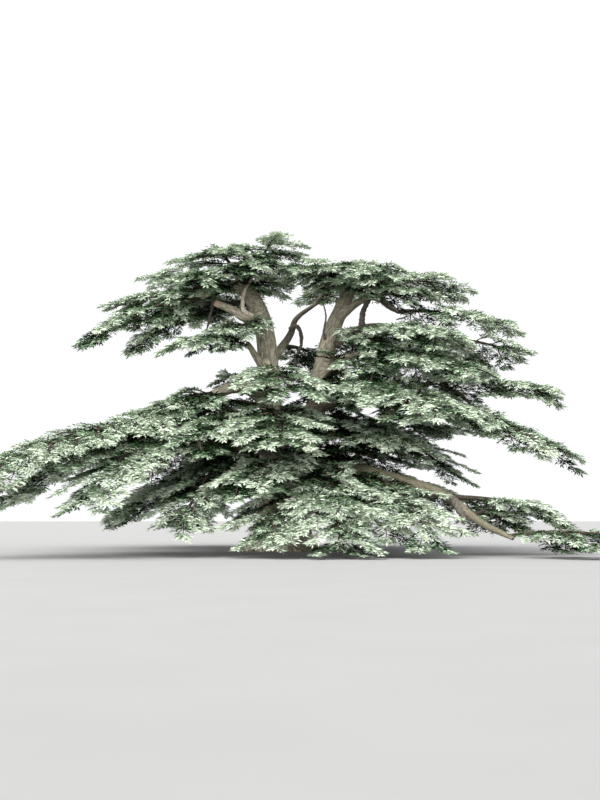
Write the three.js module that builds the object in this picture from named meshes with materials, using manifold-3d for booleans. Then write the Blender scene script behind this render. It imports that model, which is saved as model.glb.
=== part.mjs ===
// A mature cedar of Lebanon: a short flared trunk that forks low into two leaning stems,
// long boughs that sweep out and down to the grass, and flat drooping plates of foliage in tiers.
// Millimetres, +Z up. The origin is the middle of the flat cut under the trunk, at ground level.
// The front of the tree faces -Y.

import * as THREE from "three";
import { mergeVertices } from "three/addons/utils/BufferGeometryUtils.js";
import Module from "manifold-3d";

const wasm = await Module();
wasm.setup();

// Clearance kept between neighbouring solids, and the least distance from a leaf to another mass.
const GAP = 0.3;
const LEAF_CLEARANCE = 4;
const GROUND_CLEARANCE = 60;

// Trunk: bole radius, root flare at the ground, and where its two necks are cut.
const BOLE_HEIGHT = 3700;
const BOLE_RADIUS = 1280;
const BOLE_TOP_RADIUS = 600;
const BOLE_SHOULDER = 0.45;
const FLARE_RADIUS = 620;
const FLARE_HEIGHT = 700;
const ROOT_LOBES = 6;
const ROOT_LOBE_DEPTH = 0.13;
const ROOT_LOBE_TURN = 0.6;
const LOBE_DEPTH_ABOVE_FLARE = 0.35;
const BOLE_SIDES = 18;
const BOLE_ROWS = 7;
const NECK_END = 0.2;

// Stems and boughs: their facets, how tightly they bend, and how they swell where they start.
const STEM_SIDES = 10;
const STEM_ROWS = 10;
const BOUGH_SIDES = 6;
const BOUGH_ROWS = 6;
const LIMB_TENSION = 0.5;
const COLLAR_SWELL = 0.35;
const COLLAR_REACH = 0.07;
const STEM_FOOT_SWELL = 0.45;
const STEM_FOOT_REACH = 0.09;

// A stem or bough: the limb that carries it, how far along that limb it leaves, the points it
// passes, and its radius at both ends. The two stems rise from inside the trunk, and an upright
// limb climbs more than it spreads.
const LIMBS = {
  stem_left: {
    path: [[-450, 0, 1600], [-550, 0, 4700], [-700, 100, 8000], [-950, 200, 11400],
      [-1550, 200, 13200], [-2400, 200, 14200]],
    radius: [720, 400], upright: true,
  },
  stem_right: {
    path: [[550, 0, 1600], [1300, 0, 4700], [1750, 200, 7800], [2450, 500, 11200],
      [3250, 600, 13200], [3700, 700, 14400]],
    radius: [660, 320], upright: true,
  },
  bough_top_left: {
    on: "stem_left", at: 0.97, path: [[-3300, 0, 14000], [-4400, -500, 13300]],
    radius: [370, 170],
  },
  bough_back_upright: {
    on: "stem_left", at: 0.5, path: [[300, 2500, 11700], [700, 3000, 12800], [1900, 3500, 13800]],
    radius: [260, 120], upright: true,
  },
  bough_right_third: {
    on: "stem_right", at: 0.7, path: [[4600, 0, 13400], [6200, -400, 12500]],
    radius: [240, 130],
  },
  bough_right_fourth: {
    on: "stem_right", at: 0.58, path: [[4700, 1200, 12000], [7500, 1800, 11800], [10100, 2000, 11400]],
    radius: [300, 110],
  },
  bough_right_inner: {
    on: "stem_right", at: 0.48, path: [[3000, -500, 9900], [4000, -1200, 10300]],
    radius: [270, 150],
  },
  bough_right_fifth: {
    on: "stem_right", at: 0.38, path: [[4300, -1200, 8200], [6600, -2300, 8300]],
    radius: [330, 160],
  },
  bough_back_right: {
    on: "stem_right", at: 0.27, path: [[3700, 4000, 6500], [6400, 8000, 6300]],
    radius: [320, 120],
  },
  bough_low_right: {
    on: "stem_right", at: 0.1, path: [[3200, -2500, 4100], [5500, -5500, 3500], [7500, -7700, 2700],
      [8900, -9000, 1500], [10100, -10500, 800]],
    radius: [430, 120],
  },
  bough_left_main: {
    on: "stem_left", at: 0.39, path: [[-2200, -1200, 8500], [-4100, -3000, 7500], [-5900, -5000, 6400]],
    radius: [420, 170],
  },
  bough_left_low: {
    on: "stem_left", at: 0.22, path: [[-1700, -2400, 5300], [-2800, -4200, 5100]],
    radius: [300, 160],
  },
  bough_front_low: {
    on: "stem_right", at: 0.15, path: [[1300, -2200, 4600], [2300, -4000, 4300]],
    radius: [320, 180],
  },
  bough_back_left: {
    on: "stem_left", at: 0.28, path: [[-2800, 4000, 7600], [-4700, 7500, 7500]],
    radius: [310, 130],
  },
  bough_back: {
    on: "stem_right", at: 0.16, path: [[1500, 4500, 6300], [900, 8000, 6700]],
    radius: [320, 140],
  },
};

// Dead wood fused to the left stem: a broken branch and a stub, with a radius at both ends.
const SNAGS = {
  broken_branch: {
    on: "stem_left", at: 0.7, path: [[-2000, -700, 12200], [-2700, -900, 12600], [-3600, -1200, 12900]],
    radius: [310, 190],
  },
  broken_stub: {
    on: "stem_left", at: 0.46, path: [[-1400, -500, 10100], [-1900, -700, 10900]],
    radius: [260, 150],
  },
};

// A mass of foliage: the limb that its stem leaves, how far along that limb, its furthest tip,
// its breadth, how far its edges sag below its middle, and how far its stem arches up.
const MASSES = {
  foliage_top_left_end: ["bough_top_left", 0.97, [-9500, -2500, 11000], 4200, 500, 500],
  foliage_top_left_middle: ["bough_top_left", 0.75, [-8600, 1000, 13200], 4200, 500, 300],
  foliage_top_left_shoulder: ["bough_top_left", 0.3, [-6600, 2000, 14900], 4400, 500, 350],
  foliage_crown_left: ["stem_left", 0.98, [-3600, -1600, 15400], 5200, 600, 700],
  foliage_crown_top: ["stem_left", 0.93, [-300, -1000, 16300], 4600, 500, 500],
  foliage_front_left_high: ["stem_left", 0.64, [-5100, -4500, 10000], 3600, 490, 300],
  foliage_back_left_high: ["stem_left", 0.8, [-6700, 6500, 13400], 5600, 490, 400],
  foliage_back_high: ["bough_back_upright", 0.97, [3200, 6800, 15400], 4800, 400, 500],
  foliage_crown_middle: ["stem_right", 0.92, [700, -2500, 14400], 5200, 600, 700],
  foliage_crown_right: ["stem_right", 0.98, [5300, -1600, 14600], 4800, 600, 500],
  foliage_right_high: ["stem_right", 0.9, [9000, -1000, 13800], 4600, 400, 600],
  foliage_right_third: ["bough_right_third", 0.97, [11000, -2200, 11500], 5000, 600, 400],
  foliage_right_fourth: ["bough_right_fourth", 0.97, [12800, 2800, 10900], 3600, 500, 100],
  foliage_back_right_high: ["bough_right_fourth", 0.55, [8100, 8900, 9800], 6400, 630, 600],
  foliage_right_upper: ["bough_right_fourth", 0.2, [8000, -4600, 10500], 5200, 630, 500],
  foliage_right_inner: ["bough_right_inner", 0.97, [9100, -4800, 8800], 6000, 630, 600],
  foliage_right_fifth: ["bough_right_fifth", 0.97, [13100, -3800, 8000], 5000, 500, 600],
  foliage_right_front: ["bough_right_fifth", 0.55, [7500, -8400, 6300], 5800, 600, 600],
  foliage_right_droop: ["bough_right_fifth", 0.85, [12900, -6400, 4700], 5200, 700, 600],
  foliage_right_lower: ["stem_right", 0.3, [6200, -6200, 5000], 5000, 500, 500],
  foliage_back_right: ["bough_back_right", 0.97, [9900, 9500, 4600], 6000, 630, 500],
  foliage_low_right_middle: ["bough_low_right", 0.62, [12800, -7300, 1700], 3800, 420, 400],
  foliage_low_right_end: ["bough_low_right", 0.97, [14900, -13200, 700], 4400, 350, 400],
  foliage_left_inner: ["bough_left_main", 0.4, [-7800, -1800, 6300], 5600, 600, 200],
  foliage_left_shoulder: ["bough_left_main", 0.7, [-10200, -6000, 4800], 6000, 700, 300],
  foliage_left_end: ["bough_left_main", 0.97, [-12400, -12600, 3400], 6400, 800, 600],
  foliage_left_under: ["bough_left_main", 0.88, [-8000, -12600, 2300], 5000, 560, 500],
  foliage_left_middle: ["bough_left_low", 0.97, [-7400, -9600, 3900], 5200, 630, 700],
  foliage_left_low: ["bough_left_low", 0.5, [-8000, -4400, 1500], 4600, 490, 500],
  foliage_left_droop: ["bough_left_low", 0.8, [-4300, -10300, 1300], 4600, 490, 600],
  foliage_front_left: ["stem_left", 0.3, [-3800, -9000, 5200], 5600, 630, 900],
  foliage_front_left_low: ["bough_front_low", 0.5, [-1900, -10400, 3200], 5000, 490, 500],
  foliage_front_plate: ["stem_left", 0.36, [200, -10400, 4900], 5600, 490, 700],
  foliage_front_high: ["stem_left", 0.47, [400, -7800, 7500], 5600, 630, 600],
  foliage_centre_right: ["stem_right", 0.44, [5400, -7000, 7000], 6000, 630, 700],
  foliage_low_front_left: ["bough_front_low", 0.85, [-700, -12000, 500], 5000, 500, 800],
  foliage_low_front: ["bough_front_low", 0.97, [2500, -12600, 500], 5400, 500, 800],
  foliage_low_front_right: ["bough_low_right", 0.3, [6400, -12000, 800], 4800, 420, 600],
  foliage_back_left: ["bough_back_left", 0.97, [-9600, 11000, 6900], 7000, 700, 600],
  foliage_back_left_low: ["bough_back_left", 0.5, [-5600, 11400, 1200], 6400, 630, 700],
  foliage_back: ["bough_back", 0.8, [700, 13400, 7800], 7400, 700, 700],
  foliage_back_low: ["bough_back", 0.5, [4200, 12200, 1000], 6800, 630, 800],
  foliage_left_rear: ["bough_back_left", 0.3, [-11500, 4200, 5200], 6600, 700, 700],
  foliage_right_rear: ["bough_back_right", 0.4, [12000, 4600, 7200], 6200, 630, 800],
};

// How a mass branches: one arched leader, its radius, taper, bends, and where its solid ends.
const LEADER_RADIUS = 90;
const LEADER_TAPER = 0.6;
const LEADER_BENDS = [0.33, 0.67];
const LEADER_ROWS = 4;
const LEADER_END = 0.9;

// Its side twigs leave left and right in turn, nearly level and swept forward towards the tip,
// each with a spray.
const TWIG_RADIUS = 45;
const TWIG_SIDES = 3;
const TWIG_END = 0.36;
const TWIG_SHORTEST = 2750;
const TWIG_SPACING = 1100;
const FEWEST_TWIGS = 5;
const MOST_TWIGS = 7;
const TWIG_FIRST = 0.16;
const TWIG_LAST = 0.92;
const TWIG_ANGLE = 64;
const TWIG_SWEEP = 28;
const TWIG_ANGLE_SPREAD = 7;
const TWIG_LENGTH_LEAST = 0.95;
const TWIG_LENGTH_SPREAD = 0.25;
const TWIG_RISE_SPREAD = 260;
const TWIG_BEND_RISE = 0.3;
const TWIG_SLOPE = 0.35;

// The twigs' tips draw an oval about the leader: its middle and half length along the leader.
const OUTLINE_MIDDLE = 0.5;
const OUTLINE_HALF = 0.66;

// A spray of needles: a flat blade with a tip and a pair of teeth, domed along its middle.
const SPRAY_START = 0.3;
const SPRAY_SLENDERNESS = 0.4;
const SPRAY_THICKNESS = 0.05;
const SPRAY_DOME = 0.08;
const TIP_SPRAY_LENGTH = 2400;
const SPRAY_OUTLINE = [1, 0.52, 1, 0.66, 1, 0.66, 1, 0.52];

const BARK = { color: 0x8a7864, roughness: 0.92, metalness: 0 };
const NEEDLES = { color: 0x8fa283, roughness: 0.75, metalness: 0 };

const UP = new THREE.Vector3(0, 0, 1);
const AWAY = new THREE.Vector3(0, 1, 0);

// Corners of a unit cylinder this near its axis stay on the axis.
const ON_AXIS = 0.001;

// A seeded stream of numbers from 0 to 1 (the mulberry32 rule).
function seededRandom(seed) {
  let state = seed >>> 0;
  return function next() {
    state = (state + 0x6d2b79f5) >>> 0;
    let mixed = state;
    mixed = Math.imul(mixed ^ (mixed >>> 15), mixed | 1);
    mixed ^= mixed + Math.imul(mixed ^ (mixed >>> 7), mixed | 61);
    return ((mixed ^ (mixed >>> 14)) >>> 0) / 4294967296;
  };
}

// A solid from a geometry whose shared corners are merged.
function solidFrom(geometry) {
  geometry.deleteAttribute("normal");
  geometry.deleteAttribute("uv");
  const merged = mergeVertices(geometry);
  const solid = new wasm.Manifold(new wasm.Mesh({
    numProp: 3,
    vertProperties: merged.attributes.position.array,
    triVerts: new Uint32Array(merged.index.array),
  }));
  return solid;
}

// The piece of a solid with the largest volume, so that loose scraps go.
function largestPiece(solid) {
  const pieces = solid.decompose();
  pieces.sort((first, second) => second.volume() - first.volume());
  return pieces[0];
}

// A solid cut clear of every other one in a list.
function cutBy(solid, others) {
  return others.reduce((rest, other) => rest.subtract(other), solid);
}

// A cylinder bent along a curve: radiusAt(t, angle) gives its radius, and grow widens and
// lengthens it by that much. Its rings turn about the reference direction.
function bentCylinder(curve, radiusAt, sides, rows, options = {}) {
  const { from = 0, to = 1, grow = 0, pointed = false, reference = UP } = options;
  const geometry = new THREE.CylinderGeometry(pointed ? 0 : 1, 1, 1, sides, rows);
  const position = geometry.attributes.position;
  for (let index = 0; index < position.count; index += 1) {
    const x = position.getX(index);
    const z = position.getZ(index);
    const share = Math.min(1, Math.max(0, position.getY(index) + 0.5));
    const t = from + (to - from) * share;
    const tangent = curve.getTangent(t);
    const side = new THREE.Vector3().crossVectors(reference, tangent).normalize();
    const other = new THREE.Vector3().crossVectors(side, tangent);
    const angle = Math.atan2(z, x);
    const onRim = Math.hypot(x, z) > ON_AXIS && !(pointed && share === 1);
    const radius = onRim ? radiusAt(t, angle) + grow : 0;
    const point = curve.getPoint(t);
    if (share === 0) {
      point.addScaledVector(tangent, -grow);
    }
    if (share === 1) {
      point.addScaledVector(tangent, grow);
    }
    point.addScaledVector(side, radius * Math.cos(angle));
    point.addScaledVector(other, radius * Math.sin(angle));
    position.setXYZ(index, point.x, point.y, point.z);
  }
  return solidFrom(geometry);
}

const curves = {};

// The middle line of a limb, which starts on the middle line of the limb that carries it.
function limbCurve(limb) {
  const points = limb.path.map((point) => new THREE.Vector3(...point));
  if (limb.on) {
    points.unshift(curves[limb.on].getPoint(limb.at));
  }
  return new THREE.CatmullRomCurve3(points, false, "catmullrom", LIMB_TENSION);
}

// Radius along a limb: an even taper, swollen where a bough leaves its stem or a stem the trunk.
function limbRadius(limb) {
  const swell = limb.on ? COLLAR_SWELL : STEM_FOOT_SWELL;
  const reach = limb.on ? COLLAR_REACH : STEM_FOOT_REACH;
  const [first, last] = limb.radius;
  return (t) => THREE.MathUtils.lerp(first, last, t) * (1 + swell * Math.exp(-t / reach));
}

// One limb, or a stretch of it, as a solid.
function limbSolid(name, grow = 0, from = 0, to = 1) {
  const limb = LIMBS[name] ?? SNAGS[name];
  const isStem = !limb.on;
  const sides = isStem ? STEM_SIDES : BOUGH_SIDES;
  const rows = isStem ? Math.ceil(STEM_ROWS * (to - from)) : BOUGH_ROWS;
  const reference = limb.upright ? AWAY : UP;
  return bentCylinder(curves[name], limbRadius(limb), sides, rows, { from, to, grow, reference });
}

// Bole radius at a height share, in a direction: flared roots below, drawn in above the shoulder.
function boleRadius(share, angle) {
  const height = share * BOLE_HEIGHT;
  const flare = Math.exp(-height / FLARE_HEIGHT);
  const depth = ROOT_LOBE_DEPTH * (LOBE_DEPTH_ABOVE_FLARE + flare);
  const lobes = 1 + depth * Math.cos(ROOT_LOBES * angle + ROOT_LOBE_TURN);
  const above = Math.max(0, (share - BOLE_SHOULDER) / (1 - BOLE_SHOULDER));
  const body = THREE.MathUtils.lerp(BOLE_RADIUS, BOLE_TOP_RADIUS, above * above);
  return (body + FLARE_RADIUS * flare) * lobes;
}

// The trunk: the bole, with the foot of each stem fused on as a neck.
function trunkSolid(grow = 0) {
  const foot = new THREE.Vector3(0, 0, 0);
  const axis = new THREE.LineCurve3(foot, new THREE.Vector3(0, 0, BOLE_HEIGHT));
  let solid = bentCylinder(axis, boleRadius, BOLE_SIDES, BOLE_ROWS, { grow, reference: AWAY });
  for (const name of ["stem_left", "stem_right"]) {
    solid = solid.add(limbSolid(name, grow, 0, NECK_END));
  }
  return largestPiece(solid);
}

// One spray: a blade in its own outline, as two low cones back to back over one toothed edge.
function spraySolid(base, direction, up, length, width) {
  const count = SPRAY_OUTLINE.length;
  const geometry = new THREE.SphereGeometry(1, count, 2);
  const across = new THREE.Vector3().crossVectors(direction, up).normalize();
  const normal = new THREE.Vector3().crossVectors(across, direction).normalize();
  const middle = base.clone().addScaledVector(direction, length / 2);
  const position = geometry.attributes.position;
  for (let index = 0; index < position.count; index += 1) {
    const x = position.getX(index);
    const y = position.getY(index);
    const z = position.getZ(index);
    const point = middle.clone();
    if (Math.abs(y) > 0.5) {
      point.addScaledVector(normal, length * (SPRAY_DOME + (Math.sign(y) * SPRAY_THICKNESS) / 2));
    } else {
      const corner = (Math.round((Math.atan2(z, x) / (2 * Math.PI)) * count) + count) % count;
      const angle = (corner / count) * 2 * Math.PI;
      point.addScaledVector(direction, (length / 2) * SPRAY_OUTLINE[corner] * Math.cos(angle));
      point.addScaledVector(across, (width / 2) * SPRAY_OUTLINE[corner] * Math.sin(angle));
    }
    position.setXYZ(index, point.x, point.y, point.z);
  }
  return solidFrom(geometry);
}

// The leader of a mass: an arched curve from the limb to the mass's furthest tip.
function leaderCurve(root, tip, arch) {
  const [first, second] = LEADER_BENDS.map((share) => root.clone().lerp(tip, share));
  first.z += arch;
  second.z += arch;
  return new THREE.CubicBezierCurve3(root, first, second, tip);
}

// A point on the straight runs of a twig's solid, so that what grows there is rooted inside it.
function pointOnRuns(curve, t, rows, end) {
  const place = (Math.min(t, end) / end) * rows;
  const row = Math.min(rows - 1, Math.floor(place));
  const start = curve.getPoint((row / rows) * end);
  return start.lerp(curve.getPoint(((row + 1) / rows) * end), place - row);
}

// The side twigs of a mass: each has its curve, which sags below the leader towards its end.
function sideTwigs(leader, breadth, sag, random) {
  const wanted = Math.round(leader.getLength() / TWIG_SPACING);
  const count = THREE.MathUtils.clamp(wanted, FEWEST_TWIGS, MOST_TWIGS);
  const twigs = [];
  for (let index = 0; index < count; index += 1) {
    const share = (index + 0.5) / count;
    const t = THREE.MathUtils.lerp(TWIG_FIRST, TWIG_LAST, share);
    const side = index % 2 === 0 ? 1 : -1;
    const spread = (random() - 0.5) * 2 * TWIG_ANGLE_SPREAD;
    const angle = THREE.MathUtils.degToRad(TWIG_ANGLE - TWIG_SWEEP * share + spread);
    const outline = Math.sqrt(1 - ((t - OUTLINE_MIDDLE) / OUTLINE_HALF) ** 2);
    const stretch = TWIG_LENGTH_LEAST + TWIG_LENGTH_SPREAD * random();
    const length = (breadth / 2) * outline * stretch;
    const rise = (random() - 0.5) * 2 * TWIG_RISE_SPREAD;
    const base = pointOnRuns(leader, t, LEADER_ROWS, LEADER_END);
    const along = leader.getTangent(t);
    along.setZ(along.z * TWIG_SLOPE).normalize();
    const across = new THREE.Vector3(-along.y, along.x, 0).normalize();
    const end = base.clone();
    end.addScaledVector(along, length * Math.cos(angle));
    end.addScaledVector(across, side * length * Math.sin(angle));
    end.z += rise - sag * outline;
    const bend = base.clone().add(end).divideScalar(2);
    bend.z += sag * TWIG_BEND_RISE;
    twigs.push({ length, curve: new THREE.QuadraticBezierCurve3(base, bend, end) });
  }
  return twigs;
}

// Whether two boxes lie further apart than the leaves' clearance.
function boxesApart(box, other) {
  return [0, 1, 2].some((axis) => {
    const above = box.min[axis] > other.max[axis] + LEAF_CLEARANCE;
    const below = box.max[axis] < other.min[axis] - LEAF_CLEARANCE;
    return above || below;
  });
}

// Whether a solid keeps its distance from the ground and from every one of its neighbours.
function isClear(solid, neighbours) {
  const box = solid.boundingBox();
  if (box.min[2] < GROUND_CLEARANCE) {
    return false;
  }
  return neighbours.every((other) => {
    return boxesApart(box, other.box) || solid.minGap(other.solid, 2 * LEAF_CLEARANCE) > LEAF_CLEARANCE;
  });
}

// A spray that is rooted part of the way along a twig and points along its last stretch.
function sprayOnCurve(curve, start, rows, end) {
  const base = pointOnRuns(curve, start, rows, end);
  const reach = curve.getPoint(1).sub(base);
  const length = reach.length();
  return spraySolid(base, reach.divideScalar(length), UP, length, length * SPRAY_SLENDERNESS);
}

// A side twig and its spray, or nothing where they have no room. A short one is all spray.
function sideTwigSolids(twig, neighbours) {
  if (twig.length <= TWIG_SHORTEST) {
    const spray = sprayOnCurve(twig.curve, 0, 1, TWIG_END);
    return isClear(spray, neighbours) ? [spray] : [];
  }
  const options = { to: TWIG_END, pointed: true };
  const wood = bentCylinder(twig.curve, () => TWIG_RADIUS, TWIG_SIDES, 1, options);
  const spray = sprayOnCurve(twig.curve, SPRAY_START, 1, TWIG_END);
  const hasRoom = isClear(wood, neighbours) && isClear(spray, neighbours);
  return hasRoom ? [wood, spray] : [];
}

// The leader of a mass, cut clear of the limbs, so that it meets the limb that carries it.
function leaderSolid(leader, grownLimbs) {
  const options = { to: LEADER_END, pointed: true };
  const radiusAt = (t) => LEADER_RADIUS * (1 - LEADER_TAPER * t);
  const solid = bentCylinder(leader, radiusAt, TWIG_SIDES, LEADER_ROWS, options);
  return largestPiece(cutBy(solid, grownLimbs));
}

// One mass of foliage: the leader, its side twigs, and the sprays that have room.
function massSolid(mass, seed, neighbours) {
  const { leader, solid, breadth, sag } = mass;
  const parts = [solid];
  for (const twig of sideTwigs(leader, breadth, sag, seededRandom(seed))) {
    parts.push(...sideTwigSolids(twig, neighbours));
  }
  const tipStart = 1 - TIP_SPRAY_LENGTH / leader.getLength();
  const tipSpray = sprayOnCurve(leader, tipStart, LEADER_ROWS, LEADER_END);
  if (isClear(tipSpray, neighbours)) {
    parts.push(tipSpray);
  }
  return largestPiece(wasm.Manifold.union(parts));
}

function meshFrom(name, solid, finish) {
  const raw = solid.getMesh();
  const geometry = new THREE.BufferGeometry();
  geometry.setAttribute("position", new THREE.BufferAttribute(raw.vertProperties, 3));
  geometry.setIndex(new THREE.BufferAttribute(raw.triVerts, 1));
  geometry.computeVertexNormals();
  const mesh = new THREE.Mesh(geometry, new THREE.MeshStandardMaterial(finish));
  mesh.name = name;
  return mesh;
}

const tree = new THREE.Group();
const placed = [];

function place(name, solid, finish) {
  placed.push({ name, solid, box: solid.boundingBox() });
  tree.add(meshFrom(name, solid, finish));
}

for (const [name, limb] of [...Object.entries(LIMBS), ...Object.entries(SNAGS)]) {
  curves[name] = limbCurve(limb);
}

// The trunk and limbs, each cut clear of the ones before it. The grown ones leave the gap.
place("trunk", trunkSolid(), BARK);
const grownLimbs = [trunkSolid(GAP)];
for (const [name, { on }] of Object.entries(LIMBS)) {
  const start = on ? 0 : NECK_END;
  let solid = limbSolid(name, 0, start);
  let grown = limbSolid(name, GAP, start);
  for (const snag of Object.keys(SNAGS).filter((key) => SNAGS[key].on === name)) {
    solid = solid.add(limbSolid(snag));
    grown = grown.add(limbSolid(snag, GAP));
  }
  place(name, largestPiece(cutBy(solid, grownLimbs)), BARK);
  grownLimbs.push(grown);
}

// All leaders come before the first spray, so that each mass keeps off the leaders of the rest.
const masses = Object.entries(MASSES).map(([name, [on, at, tip, breadth, sag, arch]]) => {
  const leader = leaderCurve(curves[on].getPoint(at), new THREE.Vector3(...tip), arch);
  const solid = leaderSolid(leader, grownLimbs);
  return { name, leader, solid, box: solid.boundingBox(), breadth, sag };
});

masses.forEach((mass, index) => {
  const neighbours = [...placed, ...masses.slice(index + 1)];
  place(mass.name, massSolid(mass, index + 1, neighbours), NEEDLES);
});

export default tree;
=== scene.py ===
# A mature cedar of Lebanon under a bright white sky: bark with relief over the limbs, and foliage
# that grows by the model's own rule, carried on to fine twigs and tufts of needles.
# Metres, +Z up. The front of the tree faces -Y.

import math

import bpy
import numpy as np
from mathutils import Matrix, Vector, kdtree, noise


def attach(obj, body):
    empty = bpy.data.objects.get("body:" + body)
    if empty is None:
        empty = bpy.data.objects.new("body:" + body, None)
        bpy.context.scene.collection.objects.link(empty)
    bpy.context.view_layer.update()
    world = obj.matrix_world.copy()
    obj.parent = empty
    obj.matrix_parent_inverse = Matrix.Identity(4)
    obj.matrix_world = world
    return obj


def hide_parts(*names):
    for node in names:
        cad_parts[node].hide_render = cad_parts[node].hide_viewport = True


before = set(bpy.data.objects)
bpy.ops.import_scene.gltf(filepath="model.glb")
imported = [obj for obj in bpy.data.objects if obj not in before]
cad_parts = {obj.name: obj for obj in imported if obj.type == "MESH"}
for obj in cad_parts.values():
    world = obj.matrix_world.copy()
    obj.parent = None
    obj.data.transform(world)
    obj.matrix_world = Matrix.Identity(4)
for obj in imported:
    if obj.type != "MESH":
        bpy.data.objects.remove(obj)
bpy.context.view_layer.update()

# Trunk: bole radius, root flare at the ground, and its lobes.
BOLE_HEIGHT = 3.7
BOLE_RADIUS = 1.28
BOLE_TOP_RADIUS = 0.6
BOLE_SHOULDER = 0.45
FLARE_RADIUS = 0.62
FLARE_HEIGHT = 0.7
ROOT_LOBES = 6
ROOT_LOBE_DEPTH = 0.13
ROOT_LOBE_TURN = 0.6
LOBE_DEPTH_ABOVE_FLARE = 0.35

# Swelling where a bough leaves its stem, or a stem the trunk.
COLLAR_SWELL = 0.35
COLLAR_REACH = 0.07
STEM_FOOT_SWELL = 0.45
STEM_FOOT_REACH = 0.09

# A stem or bough: the limb that carries it, how far along that limb it leaves, the points it
# passes, and its radius at both ends.
LIMBS = {
    "stem_left": (None, 0, [(-0.45, 0, 1.6), (-0.55, 0, 4.7), (-0.7, 0.1, 8), (-0.95, 0.2, 11.4),
                            (-1.55, 0.2, 13.2), (-2.4, 0.2, 14.2)], (0.72, 0.4)),
    "stem_right": (None, 0, [(0.55, 0, 1.6), (1.3, 0, 4.7), (1.75, 0.2, 7.8), (2.45, 0.5, 11.2),
                             (3.25, 0.6, 13.2), (3.7, 0.7, 14.4)], (0.66, 0.32)),
    "bough_top_left": ("stem_left", 0.97, [(-3.3, 0, 14), (-4.4, -0.5, 13.3)], (0.37, 0.17)),
    "bough_back_upright": ("stem_left", 0.5, [(0.3, 2.5, 11.7), (0.7, 3, 12.8), (1.9, 3.5, 13.8)],
                           (0.26, 0.12)),
    "bough_right_third": ("stem_right", 0.7, [(4.6, 0, 13.4), (6.2, -0.4, 12.5)], (0.24, 0.13)),
    "bough_right_fourth": ("stem_right", 0.58, [(4.7, 1.2, 12), (7.5, 1.8, 11.8), (10.1, 2, 11.4)],
                           (0.3, 0.11)),
    "bough_right_inner": ("stem_right", 0.48, [(3, -0.5, 9.9), (4, -1.2, 10.3)], (0.27, 0.15)),
    "bough_right_fifth": ("stem_right", 0.38, [(4.3, -1.2, 8.2), (6.6, -2.3, 8.3)], (0.33, 0.16)),
    "bough_back_right": ("stem_right", 0.27, [(3.7, 4, 6.5), (6.4, 8, 6.3)], (0.32, 0.12)),
    "bough_low_right": ("stem_right", 0.1, [(3.2, -2.5, 4.1), (5.5, -5.5, 3.5), (7.5, -7.7, 2.7),
                                            (8.9, -9, 1.5), (10.1, -10.5, 0.8)], (0.43, 0.12)),
    "bough_left_main": ("stem_left", 0.39, [(-2.2, -1.2, 8.5), (-4.1, -3, 7.5), (-5.9, -5, 6.4)],
                        (0.42, 0.17)),
    "bough_left_low": ("stem_left", 0.22, [(-1.7, -2.4, 5.3), (-2.8, -4.2, 5.1)], (0.3, 0.16)),
    "bough_front_low": ("stem_right", 0.15, [(1.3, -2.2, 4.6), (2.3, -4, 4.3)], (0.32, 0.18)),
    "bough_back_left": ("stem_left", 0.28, [(-2.8, 4, 7.6), (-4.7, 7.5, 7.5)], (0.31, 0.13)),
    "bough_back": ("stem_right", 0.16, [(1.5, 4.5, 6.3), (0.9, 8, 6.7)], (0.32, 0.14)),
}

# Dead wood on the left stem: a broken branch and a stub.
SNAGS = {
    "broken_branch": ("stem_left", 0.7, [(-2, -0.7, 12.2), (-2.7, -0.9, 12.6), (-3.6, -1.2, 12.9)],
                      (0.31, 0.19)),
    "broken_stub": ("stem_left", 0.46, [(-1.4, -0.5, 10.1), (-1.9, -0.7, 10.9)], (0.26, 0.15)),
}

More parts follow.
